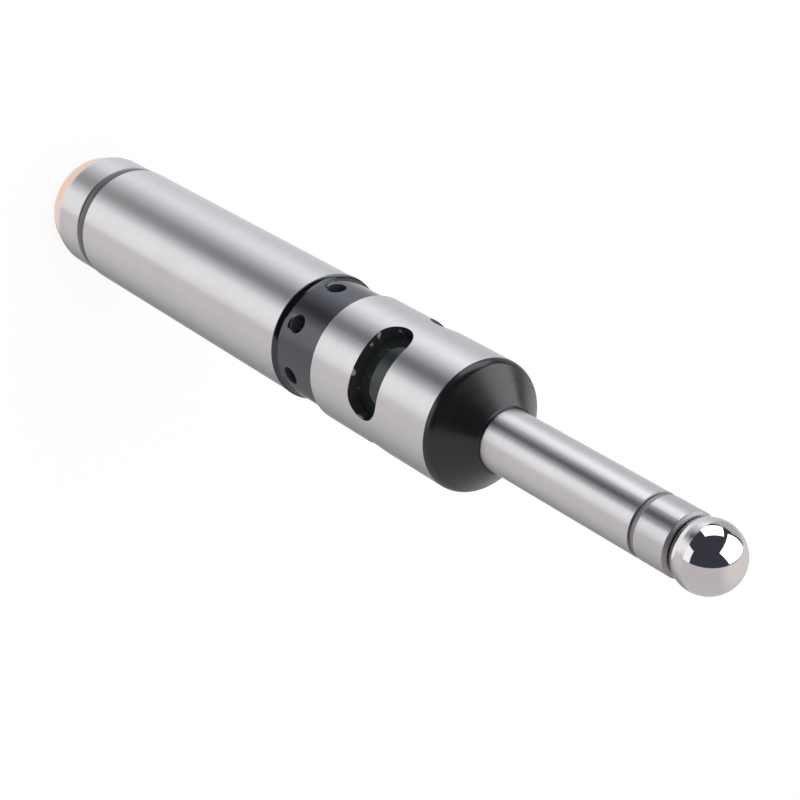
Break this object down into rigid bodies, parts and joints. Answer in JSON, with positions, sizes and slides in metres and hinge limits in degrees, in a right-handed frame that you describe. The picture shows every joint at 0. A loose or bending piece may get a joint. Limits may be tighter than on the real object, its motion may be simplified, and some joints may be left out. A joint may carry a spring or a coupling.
{
  "type": "electronic edge finder",
  "caption": "Straight-shank touch probe with a sprung ball tip, lamp windows, sounder ring and screw-on battery cap.",
  "frame": {"origin": "centre of the battery cap's flat end face, on the tool's axis", "axes": "+Z along the tool's axis from the cap to the ball; one lamp window is centred on -Y"},
  "size_m": [0.0202, 0.0202, 0.1554],
  "materials": {
    "copper_disc": "satin copper-toned disc",
    "ground_steel": "ground and fine brushed",
    "polished_steel": "mirror polished hardened ball",
    "black_oxide": "glossy black oxide",
    "black_nose": "smooth black insulating resin",
    "seal_rubber": "dark grey rubber",
    "smoked_tube": "smoked clear resin",
    "battery_can": "printed sleeve left plain",
    "insulation": "moulded insulating plastic",
    "brass": "turned brass",
    "board_green": "board with solder mask",
    "part_black": "moulded black plastic",
    "lamp_red": "clear red resin",
    "spring_steel": "drawn spring wire"
  },
  "bodies": {
    "housing": {"shank": "ground_steel", "battery": "battery_can", "battery_sleeve": "insulation", "contact_insulator": "insulation", "contact_rod": "brass", "sound_ring": "black_oxide", "circuit_board": "board_green", "driver_chip": "part_black", "buzzer": "part_black", "lamp_leads": "spring_steel", "lamp_holder": "insulation", "lamp_1": "lamp_red", "lamp_2": "lamp_red", "lamp_3": "lamp_red", "signal_pin": "brass", "window_tube": "smoked_tube", "body_sleeve": "ground_steel", "nose_cone": "black_nose", "stylus_tube": "ground_steel", "stylus_nut": "brass", "anchor_pin": "spring_steel", "tension_spring": "spring_steel", "ball_seat": "ground_steel"},
    "cap_carrier": {"cap_seal": "seal_rubber", "battery_spring": "spring_steel"},
    "cap": {"battery_cap": "ground_steel", "cap_end_disc": "copper_disc"},
    "tip": {"ball": "polished_steel", "ball_stem": "spring_steel"}
  },
  "joints": [
    {"name": "cap_travel", "type": "slide", "parent": "housing", "child": "cap_carrier", "axis": [0, 0, -1], "range_m": [0, 0.00751]},
    {"name": "cap_turn", "type": "hinge", "parent": "cap_carrier", "child": "cap", "pos_m": [0, 0, 0.0158], "axis": [0, 0, -1], "range_deg": [0, 2700]},
    {"name": "ball_pull", "type": "slide", "parent": "housing", "child": "tip", "axis": [0, 0, 1], "range_m": [0, 0.003], "stiffness_N_per_m": 400, "springref_m": -0.004, "deforming": ["tension_spring"]}
  ],
  "couplings": [
    {"joint": "cap_travel", "follows": "cap_turn", "m_per_rad": 0.00015915}
  ]
}
